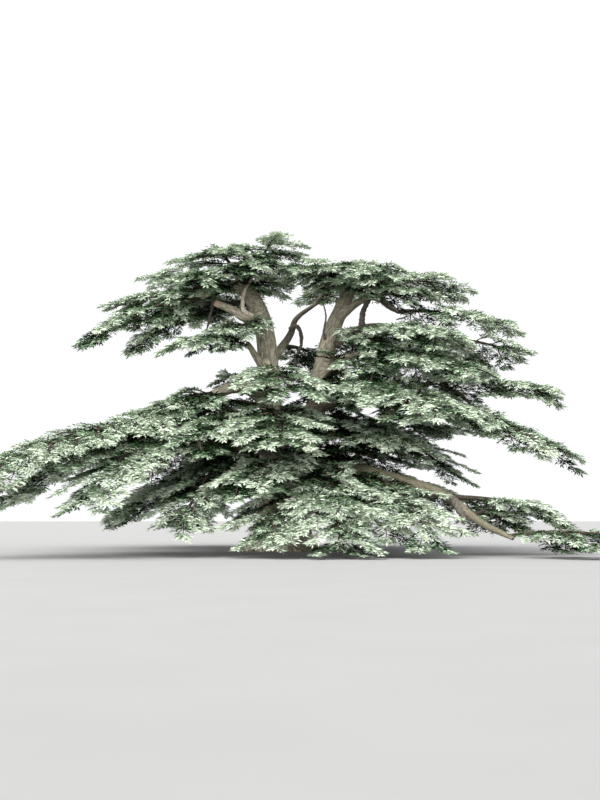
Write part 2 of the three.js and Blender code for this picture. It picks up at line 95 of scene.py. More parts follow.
# A mass of foliage: the limb that its stem leaves, how far along that limb, its furthest tip,
# its breadth, how far its edges sag below its middle, and how far its stem arches up.
MASSES = {
    "foliage_top_left_end": ("bough_top_left", 0.97, (-9.5, -2.5, 11), 4.2, 0.5, 0.5),
    "foliage_top_left_middle": ("bough_top_left", 0.75, (-8.6, 1, 13.2), 4.2, 0.5, 0.3),
    "foliage_top_left_shoulder": ("bough_top_left", 0.3, (-6.6, 2, 14.9), 4.4, 0.5, 0.35),
    "foliage_crown_left": ("stem_left", 0.98, (-3.6, -1.6, 15.4), 5.2, 0.6, 0.7),
    "foliage_crown_top": ("stem_left", 0.93, (-0.3, -1, 16.3), 4.6, 0.5, 0.5),
    "foliage_front_left_high": ("stem_left", 0.64, (-5.1, -4.5, 10), 3.6, 0.49, 0.3),
    "foliage_back_left_high": ("stem_left", 0.8, (-6.7, 6.5, 13.4), 5.6, 0.49, 0.4),
    "foliage_back_high": ("bough_back_upright", 0.97, (3.2, 6.8, 15.4), 4.8, 0.4, 0.5),
    "foliage_crown_middle": ("stem_right", 0.92, (0.7, -2.5, 14.4), 5.2, 0.6, 0.7),
    "foliage_crown_right": ("stem_right", 0.98, (5.3, -1.6, 14.6), 4.8, 0.6, 0.5),
    "foliage_right_high": ("stem_right", 0.9, (9, -1, 13.8), 4.6, 0.4, 0.6),
    "foliage_right_third": ("bough_right_third", 0.97, (11, -2.2, 11.5), 5, 0.6, 0.4),
    "foliage_right_fourth": ("bough_right_fourth", 0.97, (12.8, 2.8, 10.9), 3.6, 0.5, 0.1),
    "foliage_back_right_high": ("bough_right_fourth", 0.55, (8.1, 8.9, 9.8), 6.4, 0.63, 0.6),
    "foliage_right_upper": ("bough_right_fourth", 0.2, (8, -4.6, 10.5), 5.2, 0.63, 0.5),
    "foliage_right_inner": ("bough_right_inner", 0.97, (9.1, -4.8, 8.8), 6, 0.63, 0.6),
    "foliage_right_fifth": ("bough_right_fifth", 0.97, (13.1, -3.8, 8), 5, 0.5, 0.6),
    "foliage_right_front": ("bough_right_fifth", 0.55, (7.5, -8.4, 6.3), 5.8, 0.6, 0.6),
    "foliage_right_droop": ("bough_right_fifth", 0.85, (12.9, -6.4, 4.7), 5.2, 0.7, 0.6),
    "foliage_right_lower": ("stem_right", 0.3, (6.2, -6.2, 5), 5, 0.5, 0.5),
    "foliage_back_right": ("bough_back_right", 0.97, (9.9, 9.5, 4.6), 6, 0.63, 0.5),
    "foliage_low_right_middle": ("bough_low_right", 0.62, (12.8, -7.3, 1.7), 3.8, 0.42, 0.4),
    "foliage_low_right_end": ("bough_low_right", 0.97, (14.9, -13.2, 0.7), 4.4, 0.35, 0.4),
    "foliage_left_inner": ("bough_left_main", 0.4, (-7.8, -1.8, 6.3), 5.6, 0.6, 0.2),
    "foliage_left_shoulder": ("bough_left_main", 0.7, (-10.2, -6, 4.8), 6, 0.7, 0.3),
    "foliage_left_end": ("bough_left_main", 0.97, (-12.4, -12.6, 3.4), 6.4, 0.8, 0.6),
    "foliage_left_under": ("bough_left_main", 0.88, (-8, -12.6, 2.3), 5, 0.56, 0.5),
    "foliage_left_middle": ("bough_left_low", 0.97, (-7.4, -9.6, 3.9), 5.2, 0.63, 0.7),
    "foliage_left_low": ("bough_left_low", 0.5, (-8, -4.4, 1.5), 4.6, 0.49, 0.5),
    "foliage_left_droop": ("bough_left_low", 0.8, (-4.3, -10.3, 1.3), 4.6, 0.49, 0.6),
    "foliage_front_left": ("stem_left", 0.3, (-3.8, -9, 5.2), 5.6, 0.63, 0.9),
    "foliage_front_left_low": ("bough_front_low", 0.5, (-1.9, -10.4, 3.2), 5, 0.49, 0.5),
    "foliage_front_plate": ("stem_left", 0.36, (0.2, -10.4, 4.9), 5.6, 0.49, 0.7),
    "foliage_front_high": ("stem_left", 0.47, (0.4, -7.8, 7.5), 5.6, 0.63, 0.6),
    "foliage_centre_right": ("stem_right", 0.44, (5.4, -7, 7), 6, 0.63, 0.7),
    "foliage_low_front_left": ("bough_front_low", 0.85, (-0.7, -12, 0.5), 5, 0.5, 0.8),
    "foliage_low_front": ("bough_front_low", 0.97, (2.5, -12.6, 0.5), 5.4, 0.5, 0.8),
    "foliage_low_front_right": ("bough_low_right", 0.3, (6.4, -12, 0.8), 4.8, 0.42, 0.6),
    "foliage_back_left": ("bough_back_left", 0.97, (-9.6, 11, 6.9), 7, 0.7, 0.6),
    "foliage_back_left_low": ("bough_back_left", 0.5, (-5.6, 11.4, 1.2), 6.4, 0.63, 0.7),
    "foliage_back": ("bough_back", 0.8, (0.7, 13.4, 7.8), 7.4, 0.7, 0.7),
    "foliage_back_low": ("bough_back", 0.5, (4.2, 12.2, 1), 6.8, 0.63, 0.8),
    "foliage_left_rear": ("bough_back_left", 0.3, (-11.5, 4.2, 5.2), 6.6, 0.7, 0.7),
    "foliage_right_rear": ("bough_back_right", 0.4, (12, 4.6, 7.2), 6.2, 0.63, 0.8),
}

# Leafy shoots inside the crown, which fill it near the limbs: the same values as a mass.
SHOOTS = [
    ("stem_right", 0.95, (1.9, 0.6, 14.7), 3.4, 0.5, 0.3),
    ("stem_right", 0.9, (3.9, -2.2, 13.6), 2.4, 0.3, 0.4),
    ("stem_right", 0.98, (3.2, -1.6, 14.8), 3.6, 0.5, 0.5),
    ("stem_right", 0.97, (4.8, -2.6, 14), 3.4, 0.6, 0.4),
    ("bough_right_third", 0.6, (6.9, -2.4, 13.2), 3.4, 0.5, 0.4),
    ("stem_left", 0.97, (-0.8, -2.4, 14.8), 3.4, 0.5, 0.5),
    ("stem_left", 0.95, (-2.3, -2.8, 14.6), 3.6, 0.5, 0.5),
    ("stem_left", 0.96, (-0.1, 1, 14.3), 2.8, 0.4, 0.3),
    ("stem_left", 0.98, (-1.8, -0.5, 15.9), 3.6, 0.5, 0.7),
    ("bough_top_left", 0.5, (-4.4, -3, 13.9), 3.6, 0.5, 0.4),
    ("bough_top_left", 0.6, (-6.7, 3.5, 13.8), 4, 0.6, 0.3),
    ("bough_top_left", 0.9, (-7.4, -1.5, 10.8), 3, 0.6, 0.2),
    ("stem_left", 0.66, (-3.4, -3, 10.7), 3.4, 0.5, 0.3),
    ("bough_back_upright", 0.2, (2.2, 5.5, 10.7), 3.6, 0.5, 0.4),
    ("stem_left", 0.42, (-3.4, 3.5, 9.6), 2.6, 0.3, 0.2),
    ("bough_right_fourth", 0.15, (5.3, -2.6, 10.2), 3.8, 0.6, 0.4),
    ("bough_right_inner", 0.3, (4.6, -4, 8.9), 3.8, 0.6, 0.4),
    ("bough_right_fifth", 0.3, (4.4, -4.6, 7.6), 3.8, 0.6, 0.4),
    ("bough_left_main", 0.55, (-4.8, -4.6, 7.2), 4, 0.5, 0.3),
    ("bough_left_main", 0.8, (-6.4, -6, 6.6), 3.6, 0.5, 0.2),
    ("stem_right", 0.22, (6.2, 2.5, 4.8), 4.6, 0.5, 0.5),
    ("stem_right", 0.35, (4.6, -4, 6), 4, 0.5, 0.4),
    ("bough_right_fourth", 0.8, (10.7, 1, 9.9), 2.6, 0.6, 0.1),
    ("bough_low_right", 0.75, (10.9, -6, 1.8), 3.4, 0.5, 0.3),
    ("bough_low_right", 0.16, (4.8, -11, 1.2), 5, 0.6, 0.9),
    ("bough_front_low", 0.7, (2.8, -11, 1.8), 3.6, 0.5, 0.5),
    ("stem_left", 0.92, (-4.6, 4.6, 14), 4.4, 0.5, 0.4),
    ("stem_right", 0.95, (4.6, 4.2, 15.1), 4.2, 0.4, 0.4),
    ("stem_right", 0.62, (6.4, 6.4, 10.9), 4.8, 0.5, 0.3),
    ("bough_right_fourth", 0.45, (9.6, 6.2, 10.6), 4.6, 0.5, 0.4),
    ("stem_right", 0.5, (5.4, 7, 8.8), 5, 0.6, 0.5),
    ("bough_back_right", 0.85, (9.4, 8.2, 7.2), 5.2, 0.6, 0.5),
    ("bough_back_right", 0.7, (6.6, 11, 6.4), 5.2, 0.6, 0.5),
    ("stem_right", 0.2, (7.4, 6.6, 3), 5.2, 0.6, 0.7),
    ("bough_back", 0.85, (3.4, 11.4, 7.6), 5, 0.6, 0.5),
    ("bough_back", 0.6, (-2, 11, 5.2), 5.4, 0.6, 0.6),
    ("bough_back", 0.3, (0.6, 9, 3.2), 5.4, 0.6, 0.7),
    ("bough_back", 0.2, (-1.6, 9.6, 1.6), 5.4, 0.5, 0.8),
    ("bough_back_left", 0.85, (-3.6, 10.4, 7.2), 5, 0.6, 0.4),
    ("bough_back_left", 0.75, (-8.2, 8, 6.1), 5.2, 0.6, 0.4),
    ("bough_back_left", 0.35, (-8.4, 8, 4), 5.4, 0.6, 0.6),
    ("stem_left", 0.2, (-5, 6.6, 3.4), 5.2, 0.6, 0.7),
    ("stem_left", 0.17, (-8, 4.6, 2.2), 5.2, 0.6, 0.8),
    ("stem_right", 0.17, (9.4, 3, 2.4), 5.2, 0.6, 0.8),
    ("stem_left", 0.36, (-3.4, 1.4, 8), 3, 0.5, 0.3),
    ("bough_left_main", 0.94, (-11.6, -11, 2.3), 4.6, 0.6, 0.5),
    ("stem_right", 0.34, (0.3, 3, 7.8), 2.6, 0.4, 0.2),
    ("stem_right", 0.4, (3.4, 3.2, 8), 2.8, 0.4, 0.2),
]

# Bare branches, some dead: the points they pass, and the radius at both ends.
BARE_BRANCHES = {
    "pale_riser": ([(-1.4, -0.5, 12.2), (-2.04, -0.95, 12.5), (-2.1, -1, 13.07), (-1.99, -1, 13.6),
                    (-1.69, -0.9, 14.15), (-1.54, -0.7, 14.7)], (0.13, 0.05)),
    "crooked": ([(-3.7, 0, 13.9), (-3.75, 0, 13.4), (-3.8, -0.1, 12.7), (-3.93, -0.2, 12.15),
                 (-4.04, -0.1, 11.7), (-4.25, -0.1, 11.35), (-4.7, -0.2, 11)], (0.1, 0.03)),
    "back_fork": ([(0.3, 2.5, 12.1), (0.72, 2.6, 12.3), (0.95, 2.7, 11.9), (0.95, 2.8, 11.3),
                   (0.72, 2.7, 10.6), (0.56, 2.5, 9.8)], (0.13, 0.07)),
    "link": ([(4.2, 0.5, 11.5), (4.21, 0.35, 12.25), (4.3, 0.2, 12.8), (4.6, 0, 13.4)], (0.17, 0.14)),
    "brace": ([(4.8, 0, 13.5), (5.1, -0.3, 13.2), (5.5, -0.45, 12.8), (6.1, -0.4, 12.5)], (0.07, 0.07)),
    "thin_left": ([(2.3, 0.3, 11), (2.15, -0.1, 11.5), (2.27, -0.3, 12.3), (2.11, -0.2, 13.1)],
                  (0.08, 0.03)),
    "hanging": ([(5, 2, 6.4), (5.4, 2, 6.1), (5.56, 2, 5.7), (5.8, 2.1, 5.4), (6.2, 2.3, 5.2),
                 (6.7, 2.5, 5.1)], (0.09, 0.03)),
    "low_stub": ([(7.6, -7.8, 2.7), (7.8, -8.1, 2.5), (8.05, -8.4, 2.1), (8.3, -8.6, 1.6)],
                 (0.24, 0.15)),
    "fork_right": ([(8.5, -2.2, 8.2), (9.1, -2.2, 7.9), (9.5, -2.6, 7.4), (9.8, -3, 6.8)],
                   (0.12, 0.07)),
    "dead_near": ([(9.1, 1.9, 11.55), (9.45, 1.7, 10.8), (9.37, 1.6, 10.2), (9.6, 1.5, 9.7)],
                  (0.05, 0.015)),
    "dead_far": ([(9.9, 2, 11.4), (10.4, 1.8, 10.7), (10.9, 1.6, 10.4), (11.2, 1.6, 9.9)],
                 (0.05, 0.015)),
}

# How the bare branches are drawn: rows and sides, and how much they waver and swell. Their sides
# are counted from a direction that none of them grows in.
BARE_SEED = 7
BARE_ROWS = 24
BARE_SIDES = 10
BARE_WAVER = 0.012
BARE_SWELLS = (0.85, 1.15)
BARE_SIDE = np.array([0.6, 0.75, 0.28])

# The model's rule: a leader, and side twigs that leave it left and right in turn.
LEADER_BENDS = (0.33, 0.67)
TWIG_SPACING = 1.1
FEWEST_TWIGS = 5
MOST_TWIGS = 7
TWIG_FIRST = 0.16
TWIG_LAST = 0.92
TWIG_ANGLE = 64
TWIG_SWEEP = 28
TWIG_ANGLE_SPREAD = 7
TWIG_LENGTH_LEAST = 0.95
TWIG_LENGTH_SPREAD = 0.25
TWIG_RISE_SPREAD = 0.26
TWIG_BEND_RISE = 0.3
TWIG_SLOPE = 0.35
OUTLINE_MIDDLE = 0.5
OUTLINE_HALF = 0.66

# Carried on: side twigs between the model's own, on storeys above and below, so that each mass
# lies in plates. The storeys draw together towards its tip.
BETWEEN_SPACING = 0.5
BETWEEN_FIRST = 0.1
BETWEEN_SPAN = 0.87
BETWEEN_ANGLE_SPREAD = 9
BETWEEN_LENGTHS = (0.62, 1.0)
LEVELS = (-0.6, 0.0, 0.4)
LEVEL_SPREAD = 0.05
LEVEL_BEND = 0.9
STOREYS_MEET = 0.45

# The last stretch of a leader carries fine twigs as well, and that of a side twig carries tufts:
# its start, middle and end.
LEADER_END = (0.62, 0.82, 1.0)
SIDE_END = (0.8, 0.9, 1.0)

# Fronds that stand on the boughs themselves, apart from the bare ones.
FROND_SPACING = 0.4
FROND_FIRST = 0.22
FROND_LAST = 0.98
FROND_LENGTHS = (1.0, 2.1)
FROND_ANGLES = (45, 75)
FROND_RISES = (-0.2, 0.6)
FROND_BEND_RISE = 0.25
# The fronds lie deep in the crown and are painted darker, as shade.
FROND_PAINTED_SHADE = -0.15
BARE_BOUGHS = ("bough_back_upright", "bough_low_right", "bough_right_third", "bough_right_fourth",
               "bough_left_main")

# Fine twigs along each side twig.
FINE_SPACING = 0.23
FEWEST_FINE = 3
FINE_FIRST = 0.1
FINE_LAST = 0.97
FINE_JITTER = 0.4
FINE_SHARE = 0.4
FINE_SHORTEST = 0.3
FINE_LONGEST = 1.05
FINE_LENGTHS = (0.75, 1.1)
FINE_ANGLE = 58
FINE_ANGLE_SPREAD = 8
FINE_SWEEP = 0.4
FINE_DROOP = (-0.06, 0.14)
FINE_DROOP_AT_FOOT = 0.6
FINE_ARCH = 0.05
FINE_RADIUS = 0.012

# Tufts of needles along each fine twig, which make a spray of it.
TUFTS_PER_TWIG = 12
TUFT_FIRST = 0.1
TUFT_LAST = 0.97
TUFT_LENGTH = 0.35
TUFT_LENGTHS = (0.75, 1.2)
TUFT_TAPER = 0.25
TUFT_ANGLE = 38
TUFT_ANGLE_SPREAD = 10
LAST_TUFT_TURN = 0.2
TUFT_LIFT = 0.2
TUFT_DROOP = 0.15
TUFT_TILT = 0.2
TUFT_ROLL = 0.4

# How the tufts' colours are dealt, as painted light and shade: paler on upper storeys, towards the
# crown's outside and out along each side twig, darker on lower storeys, deep in the crown and near the
# twigs' feet. The steps part pale from sage, sage from green, and green from shaded.
MASS_TONE_SPREAD = 0.06
STOREY_LIGHT_AND_SHADE = 0.5
STOREY_HEIGHT = 0.5
STOREY_SAMPLES = 20
DEPTH_LIGHT_AND_SHADE = 0.4
DEPTH_PLACES = (0.28, 0.78)
DEPTH_SHARES = (-1, 0.3)
TUFT_TONE_SPREAD = 0.13
TONE_STEPS = (0.68, 0.38, 0.18)
DEAD_SHARE = 0.004
CROWN_REACH = 15.0
CROWN_HEIGHT = 17.0

# Low foliage keeps this far above the ground, and spreads out from the height of the layer down.
GROUND_CLEARANCE = 0.04
GROUND_LAYER = 0.4

# A new piece of needles begins once the last one holds this many triangles.
PIECE_TRIANGLES = 165000

# First seeds of the fronds and the shoots. A mass's seed is its place in the list.
FROND_SEED = 100
SHOOT_SEED = 200

UP = np.array([0.0, 0.0, 1.0])
AWAY = np.array([0.0, 1.0, 0.0])


def seeded_random(seed):
    """A seeded stream of numbers from 0 to 1 (the mulberry32 rule), the same as the model's."""
    state = seed & 0xFFFFFFFF

    def step():
        nonlocal state
        state = (state + 0x6D2B79F5) & 0xFFFFFFFF
        value = ((state ^ (state >> 15)) * (state | 1)) & 0xFFFFFFFF
        value ^= (value + (value ^ (value >> 7)) * (value | 61)) & 0xFFFFFFFF
        return (value ^ (value >> 14)) / 4294967296

    return step


def unit(vectors):
    lengths = np.linalg.norm(vectors, axis=-1, keepdims=True)
    return vectors / np.maximum(lengths, 1e-9)


def spline(points, t):
    """Points at shares t along a curve through the given points, as the model bends its limbs."""
    points = np.asarray(points, float)
    t = np.atleast_1d(np.asarray(t, float))
    before = 2 * points[0] - points[1]
    after = 2 * points[-1] - points[-2]
    padded = np.vstack([before, points, after])
    place = t * (len(points) - 1)
    index = np.minimum(place.astype(int), len(points) - 2)
    w = (place - index)[:, None]
    p0, p1, p2, p3 = (padded[index + k] for k in range(4))
    m1 = 0.5 * (p2 - p0)
    m2 = 0.5 * (p3 - p1)
    return ((2 * p1 - 2 * p2 + m1 + m2) * w ** 3 + (-3 * p1 + 3 * p2 - 2 * m1 - m2) * w ** 2
            + m1 * w + p1)


def bezier(points, t):
    """Points at shares t along a Bezier curve of 3 or 4 points. Each may be one point or many."""
    t = np.asarray(t, float)[..., None]
    weights = {3: (1, 2, 1), 4: (1, 3, 3, 1)}[len(points)]
    last = len(points) - 1
    return sum(weight * (1 - t) ** (last - k) * t ** k * np.asarray(point)
               for k, (weight, point) in enumerate(zip(weights, points)))


def tangents(curve, t, step=0.01):
    t = np.asarray(t, float)
    return unit(curve(np.minimum(t + step, 1)) - curve(np.maximum(t - step, 0)))


def bend_tangents(start, middle, end, t):
    """Directions at shares t along a Bezier curve of three points."""
    t = t[..., None]
    return unit(2 * (1 - t) * (middle - start) + 2 * t * (end - middle))


def curve_length(curve, count=60):
    line = curve(np.linspace(0, 1, count))
    return np.linalg.norm(np.diff(line, axis=0), axis=1).sum()


class Soup:
    """Corners, triangles and a colour number for each triangle, gathered for one mesh."""

    def __init__(self):
        self.corners = []
        self.triangles = []
        self.colours = []
        self.count = 0

    def add(self, corners, triangles, colours=0):
        corners = np.asarray(corners, np.float32).reshape(-1, 3)
        triangles = np.asarray(triangles, np.int32).reshape(-1, 3)
        self.corners.append(corners)
        self.triangles.append(triangles + self.count)
        self.colours.append(np.broadcast_to(np.asarray(colours, np.int32), (len(triangles),)))
        self.count += len(corners)

    def size(self):
        return sum(len(triangles) for triangles in self.triangles)

    def mesh(self, name, smooth):
        corners = np.concatenate(self.corners)
        triangles = np.concatenate(self.triangles)
        mesh = bpy.data.meshes.new(name)
        mesh.vertices.add(len(corners))
        mesh.vertices.foreach_set("co", corners.ravel())
        mesh.loops.add(triangles.size)
        mesh.loops.foreach_set("vertex_index", triangles.ravel())
        mesh.polygons.add(len(triangles))
        mesh.polygons.foreach_set("loop_start", np.arange(0, triangles.size, 3, dtype=np.int32))
        mesh.polygons.foreach_set("material_index", np.concatenate(self.colours))
        mesh.polygons.foreach_set("use_smooth", np.full(len(triangles), smooth))
        mesh.update(calc_edges=True)
        return mesh


def link(name, mesh, materials):
    piece = bpy.data.objects.new(name, mesh)
    bpy.context.scene.collection.objects.link(piece)
    for material in materials:
        mesh.materials.append(material)
    return piece


def tubes(lines, radii, sides, reference=UP, closed=False):
    """Tubes along many lines of points. Each ends in the last point of its line, and a closed one
    has a foot. radii holds one radius for each line and ring, or one for each corner."""
    lines = np.asarray(lines, float)
    direction = unit(np.gradient(lines, axis=1))[:, :-1]
    side = unit(np.cross(reference, direction))
    other = np.cross(side, direction)
    angle = np.arange(sides) * 2 * math.pi / sides
    offset = (side[:, :, None] * np.cos(angle)[:, None]
              + other[:, :, None] * np.sin(angle)[:, None])
    count, rows = direction.shape[:2]
    radii = np.asarray(radii, float).reshape(-1, rows, 1 if np.ndim(radii) < 3 else sides)
    rings = lines[:, :-1, None] + offset * radii[..., None]
    corners = [rings.reshape(count, -1, 3), lines[:, -1:]]
    if closed:
        corners.append(lines[:, :1])
    corners = np.concatenate(corners, axis=1)
    first = np.arange(count)[:, None, None] * corners.shape[1]
    return corners, (first + tube_triangles(rows, sides, closed)).reshape(-1, 3)


def tube_triangles(rows, sides, closed):
    around = np.arange(sides)
    after = (around + 1) % sides
    faces = []
    for row in range(rows - 1):
        low = row * sides
        high = low + sides
        faces.append(np.stack([low + around, high + after, low + after], 1))
        faces.append(np.stack([low + around, high + around, high + after], 1))
    last = (rows - 1) * sides
    tip = rows * sides
    faces.append(np.stack([np.full(sides, tip), last + after, last + around], 1))
    if closed:
        faces.append(np.stack([np.full(sides, tip + 1), around, after], 1))
    return np.concatenate(faces)


# Limbs: their middle lines and radii.

def limb_curves():
    curves = {}
    for name, (on, at, path, _) in {**LIMBS, **SNAGS}.items():
        points = list(path)
        if on:
            points.insert(0, tuple(spline(curves[on], at)[0]))
        curves[name] = points
    return curves


CURVES = limb_curves()


def limb_radius(name, t):
    on, _, _, (first, last) = {**LIMBS, **SNAGS}[name]
    swell, reach = (COLLAR_SWELL, COLLAR_REACH) if on else (STEM_FOOT_SWELL, STEM_FOOT_REACH)
    return (first + (last - first) * t) * (1 + swell * np.exp(-t / reach))


def bole_radius(share, angle):
    flare = np.exp(-share * BOLE_HEIGHT / FLARE_HEIGHT)
    depth = ROOT_LOBE_DEPTH * (LOBE_DEPTH_ABOVE_FLARE + flare)
    lobes = 1 + depth * np.cos(ROOT_LOBES * angle + ROOT_LOBE_TURN)
    above = np.maximum(0, (share - BOLE_SHOULDER) / (1 - BOLE_SHOULDER))
    body = BOLE_RADIUS + (BOLE_TOP_RADIUS - BOLE_RADIUS) * above ** 2
    return (body + FLARE_RADIUS * flare) * lobes


# Bark: one skin over the bole, the stems, the boughs and the snags.

UPRIGHT = ("stem_left", "stem_right", "bough_back_upright")
BARK_VOXEL = 0.065
BARK_SMOOTHING = 6
RIDGE_DEPTH = 0.022
RIDGE_WIDTH = 0.16
RIDGE_LENGTH = 0.9
KNOB_DEPTH = 0.03
KNOB_SIZE = 0.7
RIDGE_MIDDLE = 0.6
THIN_LIMB = 0.35
LIMB_SAMPLES = 60
NEAREST_SAMPLES = 4
BOLE_ROWS = 24
BOLE_SIDES = 36
LIMB_ROWS = 40
LIMB_SIDES = 16
FOOT_HEIGHT = 0.05

# The bark's grain: the side from which it is measured round a limb, the least radius that it
# takes, how it is drawn out along the limb, and how far it shifts from limb to limb.
GRAIN_SIDE = np.array([0.31, 0.94, 0.13])
GRAIN_RADIUS = 0.12
GRAIN_STRETCH = 0.22
GRAIN_SHIFT = 3.1
RIDGE_SHIFT = 7


def limb_tubes():
    """Closed tubes of all limbs, with the bole as one more."""
    soup = Soup()
    share = np.linspace(0, 1, BOLE_ROWS)
    angle = np.arange(BOLE_SIDES) * 2 * math.pi / BOLE_SIDES
    line = np.stack([0 * share, 0 * share, share * BOLE_HEIGHT], 1)
    line = np.concatenate([line, line[-1:]])
    radii = bole_radius(share[:, None], angle[None])
    soup.add(*tubes([line], radii[None], BOLE_SIDES, AWAY, closed=True))
    for name, curve in CURVES.items():
        t = np.linspace(0, 1, LIMB_ROWS)
        line = spline(curve, t)
        line = np.concatenate([line, line[-1:]])
        reference = AWAY if name in UPRIGHT else UP
        radii = limb_radius(name, t)[None]
        soup.add(*tubes([line], radii, LIMB_SIDES, reference, closed=True))
    return soup


def remeshed(mesh, voxel):
    """One even skin over a mesh of tubes that run into each other."""
    source = bpy.data.objects.new("tubes", mesh)
    bpy.context.scene.collection.objects.link(source)
    modifier = source.modifiers.new("skin", "REMESH")
    modifier.mode = "VOXEL"
    modifier.voxel_size = voxel
    depsgraph = bpy.context.evaluated_depsgraph_get()
    skin = bpy.data.meshes.new_from_object(source.evaluated_get(depsgraph))
    bpy.data.objects.remove(source)
    return skin


def smoothed(corners, edges, rounds):
    """Each corner drawn towards the middle of those it shares an edge with."""
    ends = np.concatenate([edges, edges[:, ::-1]])
    degree = np.bincount(ends[:, 0], minlength=len(corners))[:, None]
    for _ in range(rounds):
        total = np.zeros_like(corners)
        for axis in range(3):
            total[:, axis] = np.bincount(ends[:, 0], corners[ends[:, 1], axis], len(corners))
        corners = corners * 0.5 + total / degree * 0.5
    return corners


def limb_samples():
    """Middle points of the limbs with their directions, radii and distances along the limb."""
    rows = []
    for name, curve in CURVES.items():
        t = np.linspace(0, 1, LIMB_SAMPLES)
        line = spline(curve, t)
        direction = unit(np.gradient(line, axis=0))
        travel = t * np.linalg.norm(np.diff(line, axis=0), axis=1).sum()
        rows.append(np.column_stack([line, direction, limb_radius(name, t), travel]))
    height = np.linspace(0, BOLE_HEIGHT, LIMB_SAMPLES)
    bole = np.zeros((LIMB_SAMPLES, 8))
    bole[:, 2] = height
    bole[:, 5] = 1
    bole[:, 6] = BOLE_RADIUS
    bole[:, 7] = height
    return np.concatenate([bole, *rows])


def grain_places(corners):
    """For each corner of the bark: how far round and how far along its own limb it lies."""
    samples = limb_samples()
    tree = kdtree.KDTree(len(samples))
    for index, sample in enumerate(samples):
        tree.insert(Vector(sample[:3]), index)
    tree.balance()
    nearest = np.empty(len(corners), int)
    for index, corner in enumerate(corners):
        near = tree.find_n(Vector(corner), NEAREST_SAMPLES)
        nearest[index] = min(near, key=lambda hit: hit[2] - samples[hit[1], 6])[1]
    own = samples[nearest]
    away = corners - own[:, :3]
    side = unit(np.cross(GRAIN_SIDE, own[:, 3:6]))
    other = np.cross(side, own[:, 3:6])
    turn = np.arctan2((away * other).sum(1), (away * side).sum(1))
    along = own[:, 7] + (away * own[:, 3:6]).sum(1)
    return turn, along, np.maximum(own[:, 6], GRAIN_RADIUS), nearest // LIMB_SAMPLES


def ridge_height(turn, along, radius, limb):
    """Long ridges that split and join along the limb, and broad knobs under them."""
    round_x = np.cos(turn) * radius / RIDGE_WIDTH
    round_y = np.sin(turn) * radius / RIDGE_WIDTH
    lift = np.empty(len(turn))
    for index in range(len(turn)):
        up = along[index] / RIDGE_LENGTH + RIDGE_SHIFT * limb[index]
        place = Vector((round_x[index], round_y[index], up))
        ridge = 1 - 2 * abs(noise.noise(place))
        broad = noise.noise(place * (RIDGE_WIDTH / KNOB_SIZE))
        lift[index] = RIDGE_DEPTH * (ridge - RIDGE_MIDDLE) + KNOB_DEPTH * broad
    return lift * np.minimum(1, radius / THIN_LIMB)


def vertex_values(mesh, name):
    values = np.empty(len(mesh.vertices) * 3)
    mesh.vertices.foreach_get(name, values)
    return values.reshape(-1, 3)


def bark_piece(materials):
    """The skin of all limbs, with its relief, and its grain kept for the material."""
    skin = remeshed(limb_tubes().mesh("limbs", True), BARK_VOXEL)
    edges = np.empty(len(skin.edges) * 2, int)
    skin.edges.foreach_get("vertices", edges)
    corners = smoothed(vertex_values(skin, "co"), edges.reshape(-1, 2), BARK_SMOOTHING)
    skin.vertices.foreach_set("co", corners.ravel())
    skin.update()
    turn, along, radius, limb = grain_places(corners)
    lift = ridge_height(turn, along, radius, limb)
    corners += vertex_values(skin, "normal") * lift[:, None]
    corners[:, 2] = np.where(corners[:, 2] < FOOT_HEIGHT, 0, corners[:, 2])
    skin.vertices.foreach_set("co", corners.ravel())
    skin.polygons.foreach_set("use_smooth", np.ones(len(skin.polygons), bool))
    grain = skin.attributes.new("grain", "FLOAT_VECTOR", "POINT")
    height = along * GRAIN_STRETCH + limb * GRAIN_SHIFT
    places = np.stack([np.cos(turn) * radius, np.sin(turn) * radius, height], 1)
    grain.data.foreach_set("vector", places.ravel())
    skin.update()
    return link("bark", skin, materials)


# Foliage: the model's rule, then finer twigs and tufts.

LEADER_RADIUS = 0.14
LEADER_SHARE_OF_LIMB = 0.85
LEADER_TAPER = 0.9
LEADER_SIDES = 6
LEADER_ROWS = 16
SIDE_RADIUS = 0.032
SIDE_ROWS = 7
SIDE_SIDES = 4
FINE_SIDES = 3
TWIG_TIP_RADIUS = 0.006

# A tuft of needles in shares of its length: a blade, widest near its middle, and cupped. Columns
# are along, across and up.
TUFT_CORNERS = np.array([(0, 0, 0), (0.4, -0.13, 0.03), (1, 0, 0), (0.4, 0.13, 0.03)])
TUFT_TRIANGLES = np.array([(0, 1, 2), (0, 2, 3)])


def leader_curve(on, at, tip, arch):
    root = spline(CURVES[on], at)[0]
    tip = np.array(tip, float)
    first, second = (root + (tip - root) * share + UP * arch for share in LEADER_BENDS)
    return lambda t: bezier([root, first, second, tip], t)


def outline(t):
    return np.sqrt(1 - ((t - OUTLINE_MIDDLE) / OUTLINE_HALF) ** 2)


def side_twig(leader, t, side, angle, length, rise, sag):
    """Three points of a side twig. It leaves the leader nearly level, and sags towards its end."""
    base = leader(t)
    along = unit(tangents(leader, t) * (1, 1, TWIG_SLOPE))
    across = unit(np.array([-along[1], along[0], 0]))
    end = base + along * length * math.cos(angle) + across * side * length * math.sin(angle)
    end[2] += rise - sag * outline(t)
    bend = (base + end) / 2 + UP * sag * TWIG_BEND_RISE
    return np.array([base, bend, end])


def storeys(leader, branches):
    """How high each side twig lies among the others, from -1 to 1."""
    ends = np.array([branch[2] for branch in branches])
    near = leader(np.linspace(0, 1, STOREY_SAMPLES))
    distance = np.linalg.norm(ends[:, None, :2] - near[None, :, :2], axis=-1)
    height = ends[:, 2] - near[distance.argmin(1), 2]
    spread = height - np.median(height)
    return np.clip(spread / STOREY_HEIGHT, -1, 1)


